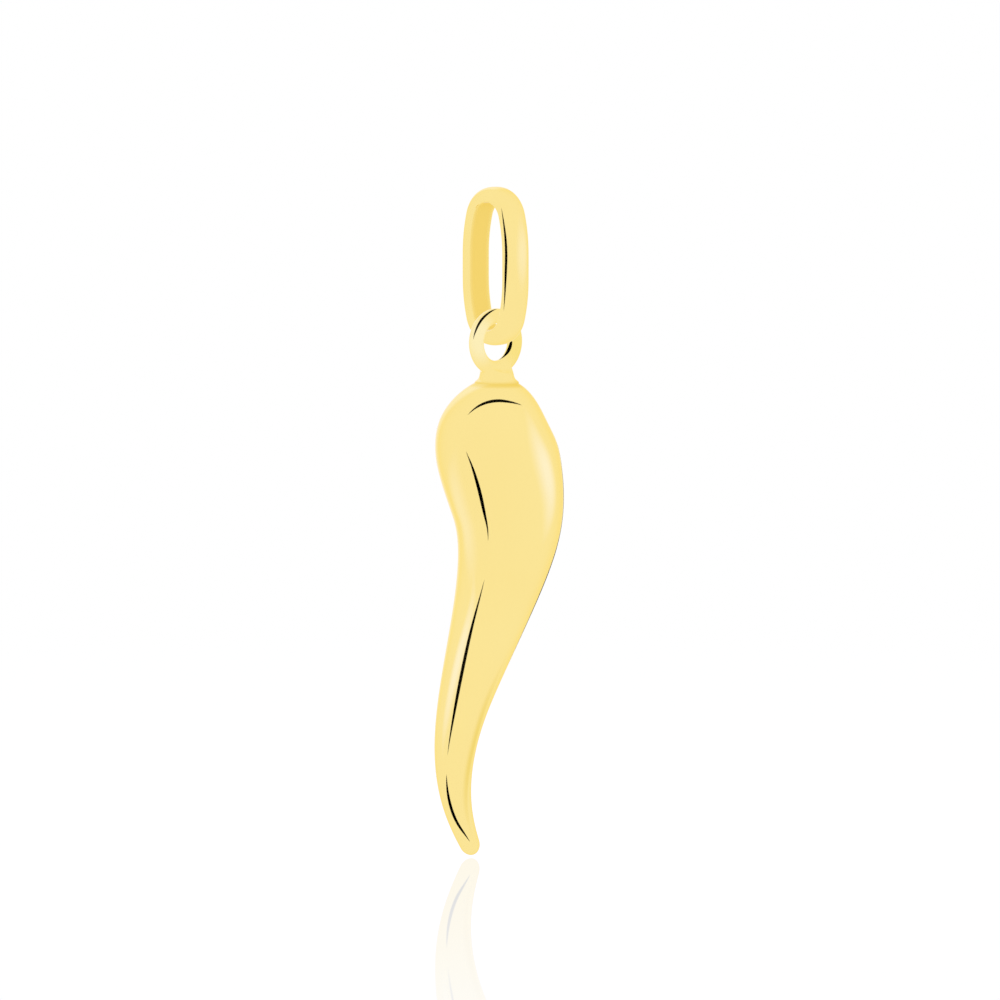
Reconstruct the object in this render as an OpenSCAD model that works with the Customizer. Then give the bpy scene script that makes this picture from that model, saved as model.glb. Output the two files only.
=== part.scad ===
// Horn charm in polished yellow gold, hanging by a soldered eye from an oval bail.
// All sizes are in millimetres. +Z is up, -Y is the front as worn, and X runs along the chain.
// The origin is on the inner top of the bail, where the chain lies.

/* [Bail] */
// Outer width of the bail, from leg to leg
bail_width = 3.52; // [3.46:0.02:3.58]
// Outer radius of the bail's two ends
bail_end_radius = 1.56; // [1.53:0.01:1.6]
// Length of the straight middle of each leg
leg_straight = 1.2; // [0.8:0.1:2]
// Depth of the bail's band, along the chain
band_depth = 1.32; // [1.2:0.02:1.32]
// Thickness of the band at the middle of its rounded outside
band_thickness = 0.69; // [0.65:0.01:0.72]
// Fullness of the band's outside: 2 is a half oval, and more is squarer at the shoulders
band_fullness = 2.6; // [2:0.1:3.5]
// Radius of the band's inner corners
band_corner = 0.12; // [0.12:0.01:0.18]

/* [Eye] */
// Diameter of the eye's round wire
eye_wire = 0.68; // [0.6:0.01:0.69]
// Diameter of the eye, measured to the middle of its wire
eye_diameter = 2.34; // [2.33:0.01:2.42]
// Height of the bail's inner bottom above the middle of the eye
eye_drop = 0.53; // [0.46:0.01:0.53]
// Radius of the round collar on top of the horn
collar_radius = 0.77; // [0.65:0.01:0.9]
// Height of the collar between the eye and the top of the horn
collar_height = 0.065; // [0.05:0.005:0.2]
// Width of the solder that fills in round the foot of the eye
solder_width = 2; // [1.6:0.05:2.1]
// Thickness of that solder where it starts on the eye's wire
solder_thickness = 1; // [0.7:0.05:1.1]

/* [Horn] */
// Length of the horn without its collar, measured straight down
horn_length = 21.45; // [18:0.05:26]
// Length over which the top rounds over into a dome
dome_length = 3.85; // [3:0.05:4.5]
// Length over which the tip is rounded
tip_length = 0.45; // [0.3:0.05:0.8]
// Number of flat sides round the horn
horn_sides = 48; // [24:4:64]

/* [Hidden] */
gold = [0.95, 0.82, 0.42];
paler_gold = [0.97, 0.86, 0.50];
round_facets = 96;

// Bail: an oval of straight legs, side arcs and end arcs that meet without a corner, given by
// its outermost line. The centres of an end arc and a side arc are the far corners of a
// 7-24-25 triangle, so the bulge of the side arcs sets the height: 7.12 for a bulge of 0.2.
side_bulge = bail_width / 2 - bail_end_radius;
end_centre = 7 * side_bulge;
side_centre = 24 * side_bulge;
side_radius = bail_end_radius + 25 * side_bulge;
side_angle = asin(7 / 25);
bail_height = 2 * (bail_end_radius + end_centre) + leg_straight;
bail_middle_z = band_thickness - bail_height / 2;
// Degrees that the arcs run on past where they are cut off square
overrun = 2;
bail_inner_bottom_z = 2 * band_thickness - bail_height;
shoulder_steps = 16;
corner_steps = 4;

// Eye: it hangs from the bail's inner bottom with a hair of play at the band's corners.
eye_z = bail_inner_bottom_z - eye_drop;
eye_hole_bottom_z = eye_z - (eye_diameter - eye_wire) / 2;
eye_bottom_z = eye_z - (eye_diameter + eye_wire) / 2;
// The solder starts this far below the eye's hole, and the eye is sunk this far into the collar
solder_below_hole = 0.1;
eye_sunk = 0.08;
solder_top_z = eye_hole_bottom_z - solder_below_hole;
collar_top_z = eye_bottom_z + eye_sunk;
// Height of the collar's cylinder below its top, most of it inside the horn
collar_foot = 0.5;
// Thickness of the flat layers that the solder is stretched between
thin_layer = 0.04;
hull_facets = 32;

// Horn: rows of a smooth curve, one at each tenth of the length, with one more beyond each end.
// SIDE is how far the horn's middle line lies to +X, and RADIUS is half its thickness there.
SIDE = 0;
RADIUS = 1;
horn_rows = [
    [0.20, 2.70],
    [0.15, 2.76],
    [-0.38, 2.80],
    [0.38, 2.80],
    [0.95, 2.49],
    [0.50, 2.06],
    [-0.35, 1.70],
    [-1.30, 1.40],
    [-2.20, 1.10],
    [-2.65, 0.88],
    [-2.45, 0.64],
    [-1.40, 0.40],
    [0.10, 0.25],
];
horn_tenths = len(horn_rows) - 3;
horn_tenth = horn_length / horn_tenths;
slope_step = 0.05;
lean_length = 1.5 * dome_length;
horn_top_z = eye_bottom_z - collar_height;
dome_steps = 12;
body_steps = 30;
tip_steps = 6;

// Value of a smooth curve between the rows b and c, at the share u of the way
function between(a, b, c, d, u) =
    ((1 - u) ^ 3 * a + (3 * u ^ 3 - 6 * u ^ 2 + 4) * b
    + (1 + 3 * u + 3 * u ^ 2 - 3 * u ^ 3) * c + u ^ 3 * d) / 6;

// Side offset and radius of the horn at a depth below its top
function horn_row(depth) =
    let (tenths = depth / horn_tenth, k = max(0, min(horn_tenths - 1, floor(tenths))), u = tenths - k)
    between(horn_rows[k], horn_rows[k + 1], horn_rows[k + 2], horn_rows[k + 3], u);

// Share of the radius that is left where the top and the tip round over
function rounding(depth) =
    let (above = max(0, 1 - depth / dome_length))
    let (below = max(0, 1 - (horn_length - depth) / tip_length))
    sqrt(1 - above ^ 2) * sqrt(1 - below ^ 2);

// Slope of the horn's middle line, sideways over down
function horn_slope(depth) =
    (horn_row(depth + slope_step)[SIDE] - horn_row(depth - slope_step)[SIDE]) / (2 * slope_step);

// Lean of a section from level at the top to square to the middle line some way below the dome
function horn_lean(depth) =
    let (u = min(1, depth / lean_length))
    u ^ 2 * (3 - 2 * u) * atan(horn_slope(depth));

// One round section of the horn
function horn_section(depth) =
    let (row = horn_row(depth), r = row[RADIUS] * rounding(depth), lean = horn_lean(depth))
    [for (i = [0 : horn_sides - 1])
        let (turn = 360 * i / horn_sides)
        [row[SIDE] + r * cos(turn) * cos(lean),
         r * sin(turn),
         horn_top_z - depth + r * cos(turn) * sin(lean)]];

// Depths of the sections: close together in the dome and at the tip, even along the body
horn_depths = concat(
    [for (i = [1 : dome_steps]) dome_length * (1 - cos(90 * i / dome_steps))],
    [for (i = [1 : body_steps])
        dome_length + (horn_length - tip_length - dome_length) * i / body_steps],
    [for (i = [1 : tip_steps - 1]) horn_length - tip_length * (1 - sin(90 * i / tip_steps))]);

// Half-round section of the band: flat inside, full outside, with its outermost point at the origin
module band_section() {
    inner_corners = [for (side = [1, -1], i = [0 : corner_steps])
        let (turn = (side > 0 ? 90 : 180) + 90 * i / corner_steps)
        [band_corner - band_thickness + band_corner * cos(turn),
         side * (band_depth / 2 - band_corner) + band_corner * sin(turn)]];
    rise = band_thickness - band_corner;
    outside = [for (i = [1 : shoulder_steps - 1])
        let (turn = 180 * i / shoulder_steps - 90)
        [rise * (cos(turn) ^ (2 / band_fullness) - 1),
         sign(turn) * band_depth / 2 * abs(sin(turn)) ^ (2 / band_fullness)]];
    polygon(concat(inner_corners, outside));
}

// Straight piece of the bail's band, from the middle of a leg up
module band_leg() {
    translate([bail_width / 2, leg_straight / 2, 0])
        rotate([90, 0, 0])
            linear_extrude(leg_straight / 2)
                band_section();
}

// Part of the bail's band, turned from where two arcs meet
module band_arc(outer_radius, sweep) {
    rotate([0, 0, side_angle])
        rotate_extrude(angle = sweep, $fn = round_facets)
            translate([outer_radius, 0])
                band_section();
}

// Quarter of the bail: half a leg, a side arc and half an end arc, with the arcs cut off square
module bail_quarter() {
    band_leg();
    translate([0, leg_straight / 2, 0])
        intersection() {
            translate([0, 0, -band_depth])
                cube([bail_width, bail_height, 2 * band_depth]);
            union() {
                translate([-side_centre, 0, 0])
                    band_arc(side_radius, -side_angle - overrun);
                translate([0, end_centre, 0])
                    band_arc(bail_end_radius, 90 - side_angle + overrun);
            }
        }
}

module bail() {
    color(gold)
        translate([0, 0, bail_middle_z])
            rotate([90, 0, 90])
                for (across = [0, 1], down = [0, 1])
                    mirror([across, 0, 0])
                        mirror([0, down, 0])
                            bail_quarter();
}

// Closed skin of the horn: a fan at the top, strips between the sections and a fan at the tip
module horn_body() {
    sections = [for (depth = horn_depths) horn_section(depth)];
    last = len(sections) - 1;
    points = concat(
        [[horn_row(0)[SIDE], 0, horn_top_z]],
        [for (section = sections) each section],
        [[horn_row(horn_length)[SIDE], 0, horn_top_z - horn_length]]);
    tip = len(points) - 1;
    top_fan = [for (i = [0 : horn_sides - 1]) [0, 1 + (i + 1) % horn_sides, 1 + i]];
    strips = [for (k = [0 : last - 1], i = [0 : horn_sides - 1])
        let (a = 1 + k * horn_sides + i, b = 1 + k * horn_sides + (i + 1) % horn_sides)
        each [[a, b, b + horn_sides], [a, b + horn_sides, a + horn_sides]]];
    tip_fan = [for (i = [0 : horn_sides - 1])
        [tip, 1 + last * horn_sides + i, 1 + last * horn_sides + (i + 1) % horn_sides]];
    polyhedron(points = points, faces = concat(top_fan, strips, tip_fan));
}

// Eye of round wire, its hole facing the front
module eye() {
    translate([0, 0, eye_z])
        rotate([90, 0, 0])
            rotate_extrude($fn = round_facets)
                translate([eye_diameter / 2, 0])
                    circle(d = eye_wire, $fn = round_facets);
}

// Solder that widens the foot of the eye into the collar
module solder() {
    hull() {
        for (side = [-1, 1])
            translate([side * (solder_width - solder_thickness) / 2, 0, solder_top_z - thin_layer])
                cylinder(h = thin_layer, d = solder_thickness, $fn = hull_facets);
        translate([0, 0, collar_top_z])
            cylinder(h = thin_layer, r = collar_radius, $fn = hull_facets);
    }
}

// Round collar that the solder stands on, sunk into the top of the horn
module collar() {
    translate([0, 0, collar_top_z - collar_foot])
        cylinder(h = collar_foot + thin_layer, r = collar_radius, $fn = round_facets);
}

module horn() {
    color(paler_gold)
        union() {
            horn_body();
            collar();
            solder();
            eye();
        }
}

bail();
horn();
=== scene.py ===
# Horn charm in polished yellow gold, hung by its soldered eye from an oval bail.
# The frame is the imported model's: metres, +Z up, -Y the front as worn, X along the chain,
# and the origin on the inner top of the bail. Sizes below are in millimetres until they are
# multiplied by MM.
from math import asin, atan, atan2, cos, floor, hypot, pi, radians, sin, sqrt

import bmesh
import bpy
from mathutils import Matrix, Vector


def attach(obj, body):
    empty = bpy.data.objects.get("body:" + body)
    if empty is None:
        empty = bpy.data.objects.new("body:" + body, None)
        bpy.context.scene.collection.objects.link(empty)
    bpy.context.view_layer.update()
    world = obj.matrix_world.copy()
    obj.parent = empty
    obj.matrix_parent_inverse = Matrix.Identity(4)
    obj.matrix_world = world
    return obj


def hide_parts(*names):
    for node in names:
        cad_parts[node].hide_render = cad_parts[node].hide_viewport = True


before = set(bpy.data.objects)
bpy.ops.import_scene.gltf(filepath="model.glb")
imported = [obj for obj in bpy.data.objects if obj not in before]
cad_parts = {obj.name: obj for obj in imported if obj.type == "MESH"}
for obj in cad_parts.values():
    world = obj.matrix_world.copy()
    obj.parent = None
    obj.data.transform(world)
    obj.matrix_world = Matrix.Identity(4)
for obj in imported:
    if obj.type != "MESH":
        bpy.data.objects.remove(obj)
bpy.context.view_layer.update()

MM = 0.001
MERGE_DISTANCE = 0.0005
# How often the surface modifier halves the faces of each piece
SUBDIVISIONS = 2

# Bail: straight legs, side arcs and end arcs given by their outermost line, and the
# half-round band that follows them
BAIL_WIDTH = 3.52
BAIL_END_RADIUS = 1.56
LEG_STRAIGHT = 1.2
SIDE_BULGE = BAIL_WIDTH / 2 - BAIL_END_RADIUS
END_CENTRE = 7 * SIDE_BULGE
SIDE_CENTRE = 24 * SIDE_BULGE
SIDE_ANGLE = asin(7 / 25)
BAIL_HEIGHT = 2 * (BAIL_END_RADIUS + END_CENTRE) + LEG_STRAIGHT
BAND_DEPTH = 1.32
BAND_THICKNESS = 0.69
BAND_FULLNESS = 2.6
BAND_CORNER = 0.12
SHOULDER_STEPS = 16
CORNER_STEPS = 4
# Name of the mark that is 1 on the band's flat inner face
INSIDE = "inside"
BAIL_MIDDLE_Z = BAND_THICKNESS - BAIL_HEIGHT / 2
BAIL_INNER_BOTTOM_Z = 2 * BAND_THICKNESS - BAIL_HEIGHT
LEG_STEPS = 4
SIDE_STEPS = 5
END_STEPS = 26

# Eye: a closed ring of round wire, with the solder that spreads from its foot to the collar
EYE_WIRE = 0.68
EYE_RADIUS = 2.34 / 2
EYE_DROP = 0.53
EYE_Z = BAIL_INNER_BOTTOM_Z - EYE_DROP
EYE_BOTTOM_Z = EYE_Z - EYE_RADIUS - EYE_WIRE / 2
WIRE_SIDES = 24
EYE_STEPS = 64
FOOT_STEPS = 6
FOOT_ANGLE = 2 * pi * FOOT_STEPS / EYE_STEPS
SOLDER_RINGS = 3

# Horn: how far its middle line lies to +X and half its thickness, at each tenth of its
# length, with one row more beyond each end
SIDE = 0
RADIUS = 1
HORN_ROWS = (
    (0.20, 2.70),
    (0.15, 2.76),
    (-0.38, 2.80),
    (0.38, 2.80),
    (0.95, 2.49),
    (0.50, 2.06),
    (-0.35, 1.70),
    (-1.30, 1.40),
    (-2.20, 1.10),
    (-2.65, 0.88),
    (-2.45, 0.64),
    (-1.40, 0.40),
    (0.10, 0.25),
)
HORN_TENTHS = len(HORN_ROWS) - 3
HORN_LENGTH = 21.45
DOME_LENGTH = 3.85
TIP_LENGTH = 0.45
SLOPE_STEP = 0.05
LEAN_LENGTH = 1.5 * DOME_LENGTH
COLLAR_HEIGHT = 0.065
HORN_TOP_Z = EYE_BOTTOM_Z - COLLAR_HEIGHT
HORN_SIDES = 48
DOME_START = radians(4)
DOME_STEPS = 12
BODY_STEPS = 34
TIP_STEPS = 7
TIP_END = radians(6)

# Collar from the solder down to the dome, and its hidden foot inside: height and radius of
# each ring
COLLAR_RINGS = (
    (-7.70, 0.765),
    (-7.80, 0.782),
    (-7.88, 0.81),
    (-7.95, 0.86),
    (-8.00, 0.92),
    (-8.05, 0.99),
    (-8.16, 1.04),
    (-8.40, 0.60),
)


def between(a, b, c, d, u):
    """Value of a smooth curve between the rows b and c, at the share u of the way"""
    return ((1 - u) ** 3 * a + (3 * u**3 - 6 * u**2 + 4) * b
            + (1 + 3 * u + 3 * u**2 - 3 * u**3) * c + u**3 * d) / 6


def horn_row(depth, column):
    """Side offset or radius of the horn at a depth below its top"""
    tenths = depth / HORN_LENGTH * HORN_TENTHS
    first = max(0, min(HORN_TENTHS - 1, floor(tenths)))
    rows = [row[column] for row in HORN_ROWS[first:first + 4]]
    return between(*rows, tenths - first)


def rounding(depth):
    """Share of the radius that is left where the top and the tip round over"""
    above = max(0, 1 - depth / DOME_LENGTH)
    below = max(0, 1 - (HORN_LENGTH - depth) / TIP_LENGTH)
    return sqrt(1 - above**2) * sqrt(1 - below**2)


def horn_lean(depth):
    """Lean of a section from level at the top to square to the middle line below the dome"""
    share = min(1, depth / LEAN_LENGTH)
    rise = horn_row(depth + SLOPE_STEP, SIDE) - horn_row(depth - SLOPE_STEP, SIDE)
    return share**2 * (3 - 2 * share) * atan(rise / (2 * SLOPE_STEP))


def ring_place(side, z, radius, lean=0.0):
    """Where a level circle of radius 1 goes to be one ring of the horn"""
    widen = Matrix.Diagonal((radius * MM, radius * MM, radius * MM, 1))
    return Matrix.Translation((side * MM, 0, z * MM)) @ Matrix.Rotation(-lean, 4, "Y") @ widen


def horn_ring(depth):
    """Place of the horn's own ring at a depth below its top"""
    radius = horn_row(depth, RADIUS) * rounding(depth)
    return ring_place(horn_row(depth, SIDE), HORN_TOP_Z - depth, radius, horn_lean(depth))


def horn_rings():
    """Places of all rings from the tip up to the middle of the dome"""
    dome = [DOME_LENGTH * (1 - cos(DOME_START + (pi / 2 - DOME_START) * i / DOME_STEPS))
            for i in range(DOME_STEPS + 1)]
    body_length = HORN_LENGTH - TIP_LENGTH - DOME_LENGTH
    body = [DOME_LENGTH + body_length * i / BODY_STEPS for i in range(1, BODY_STEPS + 1)]
    tip = [HORN_LENGTH - TIP_LENGTH * (1 - cos(turn))
           for turn in (pi / 2 + (TIP_END - pi / 2) * i / TIP_STEPS for i in range(1, TIP_STEPS + 1))]
    return [horn_ring(depth) for depth in reversed(dome + body + tip)]


def collar_rings():
    """Places of the collar's rings from its hidden foot up"""
    top_side = horn_row(0, SIDE)
    return [ring_place(top_side, z, radius) for z, radius in reversed(COLLAR_RINGS)]


def skin(mesh, places):
    """Closed end and walls extruded from ring to ring, with the open edges of the last ring"""
    start = bmesh.ops.create_circle(
        mesh, cap_ends=True, segments=HORN_SIDES, radius=1, matrix=places[0])
    ring = list({edge for vert in start["verts"] for edge in vert.link_edges})
    for here, there in zip(places, places[1:]):
        grown = bmesh.ops.extrude_edge_only(mesh, edges=ring)["geom"]
        verts = [part for part in grown if isinstance(part, bmesh.types.BMVert)]
        bmesh.ops.transform(mesh, matrix=there @ here.inverted(), verts=verts)
        last = set(verts)
        ring = [part for part in grown
                if isinstance(part, bmesh.types.BMEdge) and last.issuperset(part.verts)]
    return ring


def eye_wire(mesh):
    """Closed ring of round wire whose hole faces the front"""
    wire = bmesh.ops.create_circle(
        mesh, segments=WIRE_SIDES, radius=EYE_WIRE / 2 * MM,
        matrix=Matrix.Translation((EYE_RADIUS * MM, 0, EYE_Z * MM)))
    edges = {edge for vert in wire["verts"] for edge in vert.link_edges}
    bmesh.ops.spin(
        mesh, geom=wire["verts"] + list(edges), cent=(0, 0, EYE_Z * MM), axis=(0, 1, 0),
        angle=2 * pi, steps=EYE_STEPS, use_merge=True, use_duplicate=False)
    bmesh.ops.remove_doubles(mesh, verts=mesh.verts, dist=MERGE_DISTANCE * MM)


def open_foot(mesh):
    """Takes away the outer half of the wire round the foot and returns the opening's edges"""
    covered = []
    for face in mesh.faces:
        middle = face.calc_center_median()
        down = EYE_Z * MM - middle.z
        outer = hypot(middle.x, down) > EYE_RADIUS * MM
        if outer and atan2(abs(middle.x), down) < FOOT_ANGLE:
            covered.append(face)
    bmesh.ops.delete(mesh, geom=covered, context="FACES")
    return [edge for edge in mesh.edges if edge.is_boundary]


def make_horn():
    """Horn from tip to dome, closed at both ends"""
    mesh = bmesh.new()
    bmesh.ops.edgeloop_fill(mesh, edges=skin(mesh, horn_rings()))
    return mesh


def make_eye():
    """Eye, solder and collar in one skin, with the collar's foot inside the dome"""
    mesh = bmesh.new()
    eye_wire(mesh)
    foot = open_foot(mesh)
    collar = skin(mesh, collar_rings())
    solder = bmesh.ops.bridge_loops(mesh, edges=foot + collar)
    bmesh.ops.subdivide_edgering(
        mesh, edges=solder["edges"], interp_mode="SURFACE", smooth=1.0, cuts=SOLDER_RINGS,
        profile_shape="SMOOTH", profile_shape_factor=0.0)
    return mesh


def band_section(mesh):
    """Half-round section of the band at the foot of the right leg: flat inside, full outside"""
    points = []
    for side, start in ((1, pi / 2), (-1, pi)):
        for i in range(CORNER_STEPS + 1):
            turn = start + pi / 2 * i / CORNER_STEPS
            points.append((BAND_CORNER - BAND_THICKNESS + BAND_CORNER * cos(turn),
                           side * (BAND_DEPTH / 2 - BAND_CORNER) + BAND_CORNER * sin(turn)))
    rise = BAND_THICKNESS - BAND_CORNER
    for i in range(1, SHOULDER_STEPS):
        turn = pi * i / SHOULDER_STEPS - pi / 2
        half = BAND_DEPTH / 2 * abs(sin(turn)) ** (2 / BAND_FULLNESS)
        points.append((rise * (cos(turn) ** (2 / BAND_FULLNESS) - 1), half if turn > 0 else -half))
    leg_foot = BAIL_MIDDLE_Z - LEG_STRAIGHT / 2
    inside = mesh.verts.layers.float.new(INSIDE)
    verts = []
    for outward, along in points:
        vert = mesh.verts.new((along * MM, (BAIL_WIDTH / 2 + outward) * MM, leg_foot * MM))
        vert[inside] = outward < MERGE_DISTANCE - BAND_THICKNESS
        verts.append(vert)
    edges = [mesh.edges.new((vert, verts[i - 1])) for i, vert in enumerate(verts)]
    return verts + edges


def make_bail():
    """Band drawn up one leg, over the top, down the other leg and back under the bottom"""
    mesh = bmesh.new()
    end = band_section(mesh)
    for side in (1, -1):
        half_leg = side * LEG_STRAIGHT / 2
        end = bmesh.ops.spin(
            mesh, geom=end, cent=(0, 0, 0), axis=(1, 0, 0), dvec=(0, 0, 2 * half_leg / LEG_STEPS * MM),
            angle=0, steps=LEG_STEPS, use_merge=False, use_duplicate=False)["geom_last"]
        arcs = (
            (-side * SIDE_CENTRE, half_leg, SIDE_ANGLE, SIDE_STEPS),
            (0, half_leg + side * END_CENTRE, pi - 2 * SIDE_ANGLE, END_STEPS),
            (side * SIDE_CENTRE, half_leg, SIDE_ANGLE, SIDE_STEPS),
        )
        for across, up, sweep, steps in arcs:
            end = bmesh.ops.spin(
                mesh, geom=end, cent=(0, across * MM, (BAIL_MIDDLE_Z + up) * MM), axis=(1, 0, 0),
                angle=sweep, steps=steps, use_merge=False, use_duplicate=False)["geom_last"]
    return mesh


def add_object(mesh, name, material):
    """Object of a finished mesh in one material"""
    data = bpy.data.meshes.new(name)
    mesh.to_mesh(data)
    mesh.free()
    data.materials.append(material)
    added = bpy.data.objects.new(name, data)
    bpy.context.scene.collection.objects.link(added)
    return added


def subdivide(piece, levels):
    """Smooths a piece by halving its faces a number of times"""
    surface = piece.modifiers.new("Smooth surface", "SUBSURF")
    surface.levels = levels
    surface.render_levels = levels


def make_piece(mesh, name, material):
    """Closed, smooth piece from a finished mesh"""
    bmesh.ops.remove_doubles(mesh, verts=mesh.verts, dist=MERGE_DISTANCE * MM)
    bmesh.ops.recalc_face_normals(mesh, faces=mesh.faces)
    for face in mesh.faces:
        face.smooth = True
    piece = add_object(mesh, name, material)
    subdivide(piece, SUBDIVISIONS)
    return piece


def add_node(tree, kind, settings=None, **values):
    """Node of a kind with its settings, and a value or a link for each input that is given

    An input goes by its name, with _ for a space, or by i and its number.
    """
    node = tree.nodes.new(kind)
    for name, value in (settings or {}).items():
        setattr(node, name, value)
    for name, value in values.items():
        numbered = name[0] == "i" and name[1:].isdigit()
        socket = node.inputs[int(name[1:]) if numbered else name.replace("_", " ")]
        if isinstance(value, bpy.types.NodeSocket):
            tree.links.new(value, socket)
        else:
            socket.default_value = value
    return node


def number(tree, operation, *values):
    """Result of an operation on one or two numbers"""
    inputs = {f"i{i}": value for i, value in enumerate(values)}
    return add_node(tree, "ShaderNodeMath", {"operation": operation}, **inputs).outputs[0]


def vector(tree, operation, *values):
    """Result of an operation on one or two vectors: a number for a length or a dot product"""
    inputs = {f"i{i}": value for i, value in enumerate(values)}
    node = add_node(tree, "ShaderNodeVectorMath", {"operation": operation}, **inputs)
    return node.outputs["Value" if operation in ("LENGTH", "DOT_PRODUCT") else "Vector"]


def smooth_fall(tree, value, full, none, top=1.0):
    """Share that falls smoothly from the top at the value full to 0 at the value none"""
    return add_node(
        tree, "ShaderNodeMapRange", {"interpolation_type": "SMOOTHSTEP"},
        Value=value, From_Min=full, From_Max=none, To_Min=top, To_Max=0.0).outputs[0]


def object_place(tree):
    """Place on the piece itself"""
    return add_node(tree, "ShaderNodeTexCoord").outputs["Object"]


def mark_value(tree, name):
    """Value of one of the piece's own marks"""
    return add_node(tree, "ShaderNodeAttribute", {"attribute_name": name}).outputs["Fac"]


def blend(tree, share, first, second):
    """Mix of two colours"""
    mix = add_node(tree, "ShaderNodeMix", {"data_type": "RGBA"}, i0=share, i6=first, i7=second)
    return mix.outputs[2]


def empty_material(name):
    """Material whose surface is still open"""
    material = bpy.data.materials.new(name)
    material.use_nodes = True
    material.node_tree.nodes.remove(material.node_tree.nodes["Principled BSDF"])
    return material


def finish_surface(tree, share, under, over):
    """Lays one shader over another by a share and makes that the surface"""
    mix = add_node(
        tree, "ShaderNodeMixShader", i0=share, i1=under.outputs[0], i2=over.outputs[0])
    tree.links.new(mix.outputs[0], tree.nodes["Material Output"].inputs["Surface"])


# Gold as it looks in plain white light, the deeper gold of its thin wear, and tones of painted light:
# a painted reflection of gold in gold, painted shade and a painted highlight
POLISHED_GOLD = (0.972, 0.795, 0.320, 1)
WORN_GOLD = (0.965, 0.765, 0.285, 1)
# Painted reflection: deeper gold for the bail's inner face, standing in for the gold it mirrors
INSIDE_PAINTED_REFLECTION_GOLD = (0.935, 0.685, 0.165, 1)
# Painted shade: deeper gold for the crease round the collar
CREASE_PAINTED_SHADE_GOLD = (0.890, 0.640, 0.130, 1)
# Painted highlight: paler gold for the eye's left
PAINTED_HIGHLIGHT_GOLD = (0.985, 0.860, 0.480, 1)
# Painted shade: deeper gold for the eye's right
SHADED_RIGHT_GOLD = (0.950, 0.760, 0.235, 1)
# Tint of the reflections near the edges, where a plain metal would turn white
EDGE_GOLD = (1.0, 0.89, 0.53, 1)
POLISH_ROUGHNESS = 0.09
INSIDE_ROUGHNESS = 0.32
# Range of the hairline noise, and the roughness at its two ends as a share of the polish
HAIRLINE_NOISE = (0.35, 0.75)
HAIRLINE_DULLNESS = (0.8, 1.5)
# Hairline marks: how many to a metre across and along, and their depth in millimetres
HAIRLINES = (9000, 9000, 500)
HAIRLINE_DEPTH = 0.002
HAIRLINE_STRENGTH = 0.04
# Hand-worked wave: how many to a metre, and its depth in millimetres
WAVES = 320.0
WAVE_DEPTH = 0.02
# Soft round spots of painted light and shade, in millimetres: centre, reach along X, Y and Z, full
# share
CREASE_PAINTED_SHADE_SPOT = ((0.07, 0, -8.20), (1.4, 1.4, 0.3), 0.7)
PAINTED_HIGHLIGHT_SPOT = ((-1.1, -0.3, -6.1), (1.1, 1.0, 1.4), 0.3)
SHADED_RIGHT_SPOT = ((1.1, -0.3, -6.5), (0.9, 1.0, 1.3), 0.3)


def spot(tree, centre, reach, full):
    """Share of a soft round spot: 1 out to the full share of its reach, and 0 at its reach"""
    away = vector(tree, "SUBTRACT", object_place(tree), Vector(centre) * MM)
    scaled = vector(tree, "DIVIDE", away, Vector(reach) * MM)
    return smooth_fall(tree, vector(tree, "LENGTH", scaled), full, 1.0)


def gold_material(name, cloud_scale, wave_strength):
    """Polished gold: faint clouds of colour, hairline polishing marks and a hand-worked wave"""
    material = bpy.data.materials.new(name)
    material.use_nodes = True
    tree = material.node_tree
    shader = tree.nodes["Principled BSDF"]
    shader.inputs["Metallic"].default_value = 1.0
    shader.inputs["Specular Tint"].default_value = EDGE_GOLD
    place = object_place(tree)
    clouds = add_node(tree, "ShaderNodeTexNoise", Vector=place, Scale=cloud_scale, Detail=2.0)
    colour = blend(tree, clouds.outputs["Fac"], POLISHED_GOLD, WORN_GOLD)
    tree.links.new(colour, shader.inputs["Base Color"])
    stretched = add_node(tree, "ShaderNodeMapping", Vector=place, Scale=HAIRLINES).outputs[0]
    hairlines = add_node(
        tree, "ShaderNodeTexNoise", Vector=stretched, Scale=1.0, Detail=3.0).outputs["Fac"]
    least_noise, most_noise = HAIRLINE_NOISE
    least_dull, most_dull = (POLISH_ROUGHNESS * share for share in HAIRLINE_DULLNESS)
    dull = add_node(
        tree, "ShaderNodeMapRange", Value=hairlines, From_Min=least_noise, From_Max=most_noise,
        To_Min=least_dull, To_Max=most_dull)
    tree.links.new(dull.outputs[0], shader.inputs["Roughness"])
    wave = add_node(tree, "ShaderNodeTexNoise", Vector=place, Scale=WAVES, Detail=1.0)
    wave_bump = add_node(
        tree, "ShaderNodeBump", Strength=wave_strength, Distance=WAVE_DEPTH * MM,
        Height=wave.outputs["Fac"])
    bump = add_node(
        tree, "ShaderNodeBump", Strength=HAIRLINE_STRENGTH, Distance=HAIRLINE_DEPTH * MM,
        Height=hairlines, Normal=wave_bump.outputs[0])
    tree.links.new(bump.outputs[0], shader.inputs["Normal"])
    return material


def retone(material, share, tone):
    """Blends one more tone into a gold's colour"""
    tree = material.node_tree
    socket = tree.nodes["Principled BSDF"].inputs["Base Color"]
    tree.links.new(blend(tree, share, socket.links[0].from_socket, tone), socket)


def bail_gold():
    """Gold that is satin on the band's flat inner face, where no polisher reaches, and deeper there
    with a painted reflection of gold mirrored in gold
    """
    material = gold_material("bail gold", cloud_scale=500, wave_strength=0.03)
    tree = material.node_tree
    inside = mark_value(tree, INSIDE)
    # Painted reflection: the inner face takes the deeper colour of gold mirrored in gold
    retone(material, inside, INSIDE_PAINTED_REFLECTION_GOLD)
    socket = tree.nodes["Principled BSDF"].inputs["Roughness"]
    polished = socket.links[0].from_socket
    satin = add_node(tree, "ShaderNodeMix", i0=inside, i2=polished, i3=INSIDE_ROUGHNESS)
    tree.links.new(satin.outputs[0], socket)
    return material


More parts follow.
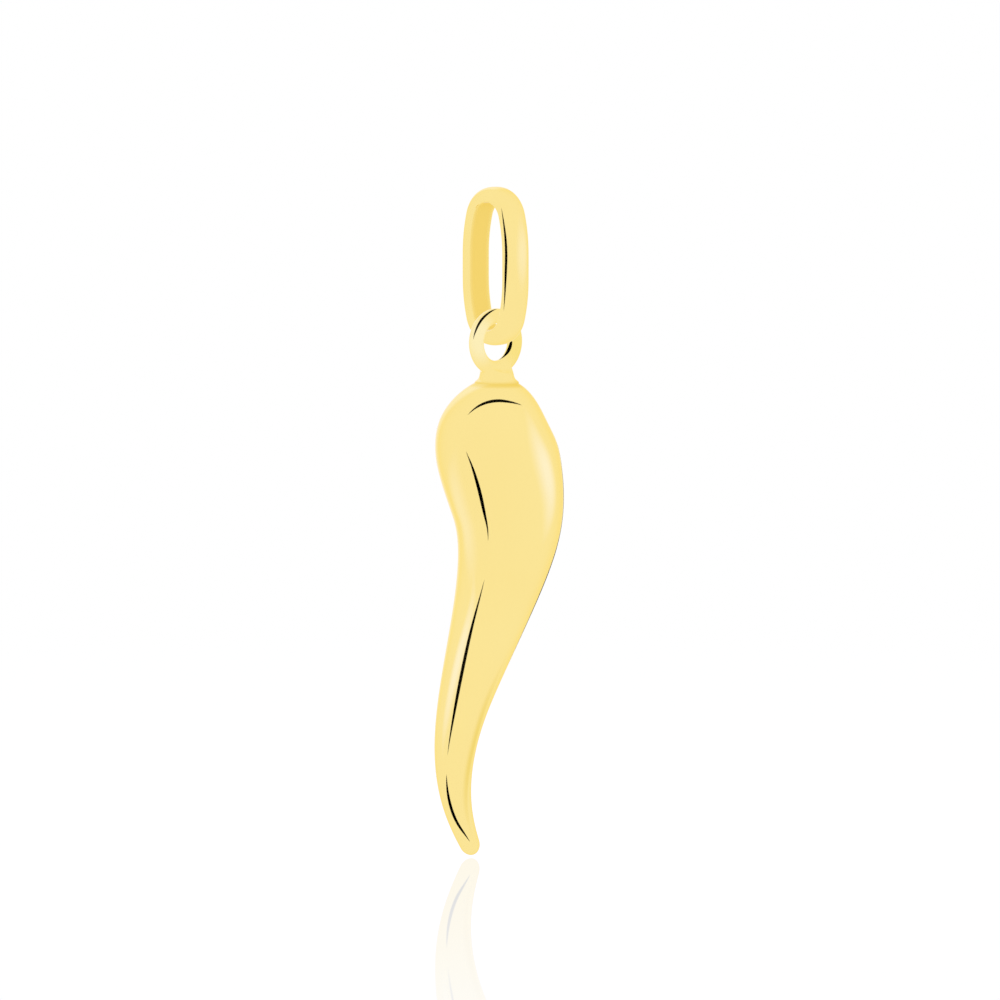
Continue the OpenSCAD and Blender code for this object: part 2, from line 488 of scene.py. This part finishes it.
def add_spot(material, place, tone):
    """Soft round spot of another tone"""
    retone(material, spot(material.node_tree, *place), tone)


def horn_gold():
    """Gold of the horn, with painted shade in the crease round its collar"""
    material = gold_material("horn gold", cloud_scale=250, wave_strength=0.05)
    # Painted shade in the crease round the collar
    add_spot(material, CREASE_PAINTED_SHADE_SPOT, CREASE_PAINTED_SHADE_GOLD)
    return material


def eye_gold():
    """Gold of the eye, with a painted highlight on its left, painted shade on its right and painted
    shade in the crease
    """
    material = gold_material("eye gold", cloud_scale=400, wave_strength=0.03)
    # Painted highlight on the eye's left
    add_spot(material, PAINTED_HIGHLIGHT_SPOT, PAINTED_HIGHLIGHT_GOLD)
    # Painted shade on the eye's right
    add_spot(material, SHADED_RIGHT_SPOT, SHADED_RIGHT_GOLD)
    # Painted shade in the crease round the collar
    add_spot(material, CREASE_PAINTED_SHADE_SPOT, CREASE_PAINTED_SHADE_GOLD)
    return material


# Camera: the photograph's angle, seen through a long lens
AZIMUTH = radians(-43)
ELEVATION = radians(6)
FOCAL_LENGTH = 200
SENSOR_WIDTH = 36
# Nearest and farthest that the camera sees, in metres
CLIP_NEAR = 0.01
CLIP_FAR = 20
# Width of the view at the charm, and how far its middle lies from the origin
FRAME_WIDTH = 44.64
FRAME_RIGHT = 0.20
FRAME_UP = -13.31
TO_RIGHT = Vector((cos(AZIMUTH), sin(AZIMUTH), 0))
TO_CAMERA = Vector((sin(AZIMUTH) * cos(ELEVATION), -cos(AZIMUTH) * cos(ELEVATION), sin(ELEVATION)))
TO_TOP = TO_CAMERA.cross(TO_RIGHT)


def add_camera():
    """Long lens that looks a little down at the charm, from its left and front"""
    data = bpy.data.cameras.new("camera")
    data.lens = FOCAL_LENGTH
    data.sensor_width = SENSOR_WIDTH
    data.clip_start = CLIP_NEAR
    data.clip_end = CLIP_FAR
    camera = bpy.data.objects.new("camera", data)
    bpy.context.scene.collection.objects.link(camera)
    distance = FRAME_WIDTH * FOCAL_LENGTH / SENSOR_WIDTH
    middle = TO_RIGHT * FRAME_RIGHT + TO_TOP * FRAME_UP
    camera.location = (middle + TO_CAMERA * distance) * MM
    camera.rotation_euler = TO_CAMERA.to_track_quat("Z", "Y").to_euler()
    bpy.context.scene.camera = camera


# White tent round the charm, and a cooler soft panel in it behind the charm: its turn from the
# front towards +X and its height in degrees, the squash of its height, and the half angles of
# its full part and of its soft edge
TENT_WHITE = (1.0, 1.0, 1.0, 1)
COOL_WHITE = (1.03, 1.12, 1.85, 1)
FAINT_COOL_WHITE = (1.015, 1.06, 1.42, 1)
WARM_WHITE = (0.92, 0.87, 0.58, 1)
PANEL_TURN = radians(152)
PANEL_HEIGHT = radians(10)
PANEL_SQUASH = 0.5
PANEL_FULL = radians(4)
PANEL_SOFT = radians(30)


def white_tent():
    """World of plain white light with one soft cooler panel"""
    world = bpy.data.worlds.new("white tent")
    bpy.context.scene.world = world
    world.use_nodes = True
    tree = world.node_tree
    ray = add_node(tree, "ShaderNodeTexCoord").outputs["Generated"]
    flat = vector(tree, "MULTIPLY", ray, (1, 1, PANEL_SQUASH))
    aim = Vector((sin(PANEL_TURN) * cos(PANEL_HEIGHT), -cos(PANEL_TURN) * cos(PANEL_HEIGHT),
                  sin(PANEL_HEIGHT)))
    facing = vector(tree, "DOT_PRODUCT", vector(tree, "NORMALIZE", flat), aim)
    share = smooth_fall(tree, facing, cos(PANEL_FULL), cos(PANEL_SOFT))
    colour = blend(tree, share, TENT_WHITE, COOL_WHITE)
    tree.links.new(colour, tree.nodes["Background"].inputs["Color"])


# Narrow cards that draw the dark and pale lines in the gold. Each is a strip, widest in its middle
# and pointed at both ends, that hangs a small gap off the gold and faces it. It shows only as a
# reflection, only from its front, and only as far off as its reach, so no line shows on another
# piece. A tone is a colour and the share of the strip's half width and half length that fades out.
BLACK = ((0, 0, 0, 1), 0.0)
PALE = (COOL_WHITE, 0.95)
FAINT = (FAINT_COOL_WHITE, 0.95)
WARM = (WARM_WHITE, 0.95)
HORN_LINES = (
    # name, tone, gap, reach, half width, and marks: depth below the horn's top, and turn from the
    # front to +X
    ("dome line", BLACK, 0.18, 0.6, 0.105,
     ((1.5, -77), (1.05, -66), (0.83, -48), (0.81, -33), (0.90, -16), (1.06, 2))),
    ("shoulder line", BLACK, 0.18, 0.6, 0.105,
     ((2.85, -74), (3.3, -68.5), (4.0, -66.5), (4.9, -67), (6.2, -68), (7.7, -67))),
    ("body line", BLACK, 0.18, 0.6, 0.105,
     ((9.5, -65), (10.4, -66.5), (11.6, -68.5), (13.0, -66), (14.5, -62), (15.6, -61), (16.9, -67))),
    ("tip line", BLACK, 0.18, 0.6, 0.125,
     ((17.6, -71), (18.4, -75), (19.2, -73.5), (19.8, -64), (20.35, -42), (20.8, -28))),
    ("edge line", BLACK, 0.07, 0.8, 0.17,
     ((3.2, 53), (4.4, 50), (5.6, 48.5), (7.0, 48), (8.4, 48.5), (10.0, 50), (12.6, 55))),
    ("pale flank", FAINT, 0.18, 0.9, 1.0,
     ((2.4, -80), (4.0, -95), (5.8, -104), (7.7, -104), (9.0, -92), (10.6, -78))),
    ("pale band", PALE, 0.18, 0.9, 0.5,
     ((8.6, -90), (10.4, -76.5), (11.6, -78), (12.8, -80.5), (14.2, -81), (15.4, -82), (17.4, -85))),
    ("pale side", PALE, 0.18, 1.0, 0.95,
     ((0.9, 1), (2.2, 4), (3.2, 7), (4.2, 10), (5.2, 12), (6.1, 11), (7.8, 5))),
    ("warm edge", WARM, 0.18, 1.0, 0.5,
     ((11.6, 26), (13.0, 21), (14.4, 21), (16.0, 27), (17.2, 20), (18.4, 9), (19.6, -5), (21.2, -4))),
)
EYE_LINES = (
    # as above, with marks: turn round the eye from its top to +X, and turn round the wire from
    # its outside to the front
    ("eye's outer line", BLACK, 0.15, 0.5, 0.12,
     ((8, -4), (-10, 15), (-28, 22), (-45, 21), (-62, 22), (-84, 12))),
    ("eye's inner line", BLACK, 0.15, 0.5, 0.19,
     ((78, 165), (93, 167), (105, 174), (118, 189), (130, 205), (148, 214))),
)
LEG_LINES = (
    # name, tone, which way it lies from the leg, reach, half width, and marks: X, Y and Z
    ("leg's inner line", BLACK, (-1, 0, 0), 0.7, 0.145,
     ((-0.90, -0.96, -0.1), (-0.91, -1.13, -1.0), (-0.91, -1.27, -1.8), (-0.92, -1.27, -2.6),
      (-0.92, -1.19, -3.3), (-0.92, -1.08, -4.9))),
    ("leg's pale side", FAINT, (0.2, -1, 0), 0.9, 0.75,
     ((0.30, -1.65, -0.1), (0.30, -1.95, -1.3), (0.26, -2.01, -2.2), (0.24, -2.01, -3.0),
      (0.20, -1.98, -4.4))),
)
# The width of a strip's ends as a share, and how finely its outline is smoothed
STRIP_POINT = 0.02
STRIP_SMOOTHING = 3
# How far round, in radians, the neighbour lies that tells how the horn's surface faces
TURN_STEP = 0.05
# Names of the marks that go from -1 to 1 across and along a strip
ACROSS = "across"
ALONG = "along"


def on_horn(depth, turn):
    """Point of the horn's surface"""
    return horn_ring(depth) @ Vector((sin(turn), -cos(turn), 0))


def over_horn(depth, turn, gap):
    """Place a gap off the horn's surface, and the way that the surface faces there"""
    place = on_horn(depth, radians(turn))
    down = on_horn(depth + SLOPE_STEP, radians(turn)) - place
    outward = down.cross(on_horn(depth, radians(turn) + TURN_STEP) - place).normalized()
    return place + gap * MM * outward, outward


def over_eye(turn, roll, gap):
    """Place a gap off the eye's wire, and the way that the wire faces there"""
    from_middle = Vector((sin(radians(turn)), 0, cos(radians(turn))))
    outward = cos(radians(roll)) * from_middle - sin(radians(roll)) * Vector((0, 1, 0))
    place = Vector((0, 0, EYE_Z)) + EYE_RADIUS * from_middle + (EYE_WIRE / 2 + gap) * outward
    return place * MM, outward


def glow_material(name, tone, farthest):
    """One tone from the front and from close by, clear from behind and from afar"""
    colour, fade = tone
    material = empty_material(name)
    tree = material.node_tree
    reach = add_node(tree, "ShaderNodeLightPath").outputs["Ray Length"]
    back = add_node(tree, "ShaderNodeNewGeometry").outputs["Backfacing"]
    share = number(tree, "LESS_THAN", reach, farthest * MM)
    share = number(tree, "MULTIPLY", share, number(tree, "SUBTRACT", 1.0, back))
    if fade:
        for way in (ACROSS, ALONG):
            away = number(tree, "ABSOLUTE", mark_value(tree, way))
            share = number(tree, "MULTIPLY", share, smooth_fall(tree, away, 1 - fade, 1.0))
    clear = add_node(tree, "ShaderNodeBsdfTransparent")
    glow = add_node(tree, "ShaderNodeEmission", Color=colour)
    finish_surface(tree, share, clear, glow)
    return material


def strip_rungs(half_width, marks):
    """Each rung's place and its share of the way, from its middle and how the gold under it faces"""
    middles = [middle for middle, _ in marks]
    reach = [0.0]
    for here, there in zip(middles, middles[1:]):
        reach.append(reach[-1] + (there - here).length)
    rungs = []
    for i, (middle, outward) in enumerate(marks):
        share = 2 * reach[i] / reach[-1] - 1
        width = half_width * max(STRIP_POINT, 1 - share**2)
        along = (middles[min(i + 1, len(middles) - 1)] - middles[max(i - 1, 0)]).normalized()
        across = along.cross(outward).normalized()
        turned = Matrix((across, along, across.cross(along))).transposed().to_4x4()
        rungs.append((Matrix.Translation(middle) @ turned @ Matrix.Scale(width * MM, 4), share))
    return rungs


def stage_unseen(name, mesh, material):
    """Stage piece that shows only as a reflection"""
    piece = add_object(mesh, name.replace(" ", "_").replace("'", ""), material)
    piece.visible_camera = False
    piece.visible_shadow = False
    piece.visible_diffuse = False
    piece.visible_transmission = False
    return piece


def add_strip(name, tone, farthest, half_width, marks):
    """One tapered strip that faces the gold under it"""
    mesh = bmesh.new()
    across = mesh.verts.layers.float.new(ACROSS)
    along = mesh.verts.layers.float.new(ALONG)
    rungs = strip_rungs(half_width, marks)
    ends = []
    for side in (-1, 1):
        end = mesh.verts.new(rungs[0][0] @ Vector((side, 0, 0)))
        end[across] = side
        end[along] = rungs[0][1]
        ends.append(end)
    rung = [mesh.edges.new(ends)]
    for (here, _), (there, share) in zip(rungs, rungs[1:]):
        grown = bmesh.ops.extrude_edge_only(mesh, edges=rung)["geom"]
        verts = [part for part in grown if isinstance(part, bmesh.types.BMVert)]
        bmesh.ops.transform(mesh, matrix=there @ here.inverted(), verts=verts)
        for vert in verts:
            vert[along] = share
        rung = [edge for edge in mesh.edges if set(edge.verts) == set(verts)]
    mesh.faces.ensure_lookup_table()
    mesh.normal_update()
    if mesh.faces[0].normal.dot(marks[0][1]) > 0:
        bmesh.ops.reverse_faces(mesh, faces=mesh.faces)
    strip = stage_unseen(name, mesh, glow_material(name, tone, farthest))
    subdivide(strip, STRIP_SMOOTHING)


def add_lines():
    """Strips for every line in the gold"""
    for name, tone, gap, reach, half_width, marks in HORN_LINES:
        add_strip(name, tone, reach, half_width, [over_horn(*mark, gap) for mark in marks])
    for name, tone, gap, reach, half_width, marks in EYE_LINES:
        add_strip(name, tone, reach, half_width, [over_eye(*mark, gap) for mark in marks])
    for name, tone, outward, reach, half_width, marks in LEG_LINES:
        placed = [(Vector(mark) * MM, Vector(outward).normalized()) for mark in marks]
        add_strip(name, tone, reach, half_width, placed)


# White hood just over the dome, so that the eye, the collar and the bail mirror white there and
# not the dome: depths of its rings below the horn's top, its gap, and how far off it still shows
HOOD_DEPTHS = (0.01, 0.05, 0.15, 0.3, 0.5, 0.8, 1.2, 1.7, 2.3, 3.0, 3.85, 5.0)
HOOD_GAP = 0.12
HOOD_FARTHEST = 5.0


def white_hood():
    """Shell over the dome, a little wider and higher than the dome"""
    mesh = bmesh.new()
    raise_up = Matrix.Translation((0, 0, HOOD_GAP * MM))
    rings = []
    for depth in HOOD_DEPTHS:
        wider = 1 + HOOD_GAP / (horn_row(depth, RADIUS) * rounding(depth))
        rings.append(raise_up @ horn_ring(depth) @ Matrix.Scale(wider, 4))
    skin(mesh, rings)
    bmesh.ops.recalc_face_normals(mesh, faces=mesh.faces)
    stage_unseen("white hood", mesh, glow_material("white hood", (TENT_WHITE, 0.0), HOOD_FARTHEST))


# Floor: its height and size, its mirror's strength right under the charm, how far out the
# mirror fades to nothing, and its roughness
FLOOR_Z = -29.41
FLOOR_RADIUS = 6000
FLOOR_SIDES = 96
MIRROR_MOST = 0.54
MIRROR_REACH = 78
MIRROR_ROUGHNESS = 0.03
# How fast the mirror weakens as the view comes from higher up
MIRROR_POWER = 4.0


def floor_material():
    """White glaze that mirrors the charm faintly, most near its tip and at a low angle"""
    material = empty_material("white glaze")
    tree = material.node_tree
    away = vector(tree, "LENGTH", object_place(tree))
    near = smooth_fall(tree, away, 0.0, MIRROR_REACH * MM, top=MIRROR_MOST)
    facing = add_node(tree, "ShaderNodeLayerWeight", Blend=0.5).outputs["Facing"]
    share = number(tree, "MULTIPLY", number(tree, "POWER", facing, MIRROR_POWER), near)
    white = add_node(tree, "ShaderNodeEmission", Color=TENT_WHITE, Strength=1.0)
    gloss = add_node(
        tree, "ShaderNodeBsdfGlossy", Color=(1, 1, 1, 1), Roughness=MIRROR_ROUGHNESS)
    finish_surface(tree, share, white, gloss)
    return material


def white_floor():
    """Plain round floor just under the tip, too wide for its edge to show"""
    mesh = bmesh.new()
    bmesh.ops.create_circle(
        mesh, cap_ends=True, segments=FLOOR_SIDES, radius=FLOOR_RADIUS * MM)
    ground = add_object(mesh, "floor", floor_material())
    ground.location = (0, 0, FLOOR_Z * MM)
    ground.visible_glossy = False
    ground.visible_diffuse = False


bpy.context.scene.view_settings.view_transform = "Standard"
add_camera()
white_tent()
add_lines()
white_hood()
white_floor()

PIECES = (
    # name, body and node, mesh, material, slot
    ("bail_band", "bail", make_bail(), bail_gold(), "bail_gold"),
    ("horn_body", "horn", make_horn(), horn_gold(), "horn_gold"),
    ("eye_and_collar", "horn", make_eye(), eye_gold(), "horn_gold"),
)
for name, body, mesh, material, slot in PIECES:
    piece = make_piece(mesh, name, material)
    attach(piece, body)
    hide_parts(body)
    # The small pieces don't mirror each other, so the bends of eye and bail stay clear
    piece.visible_glossy = name == "horn_body"

bpy.context.view_layer.update()
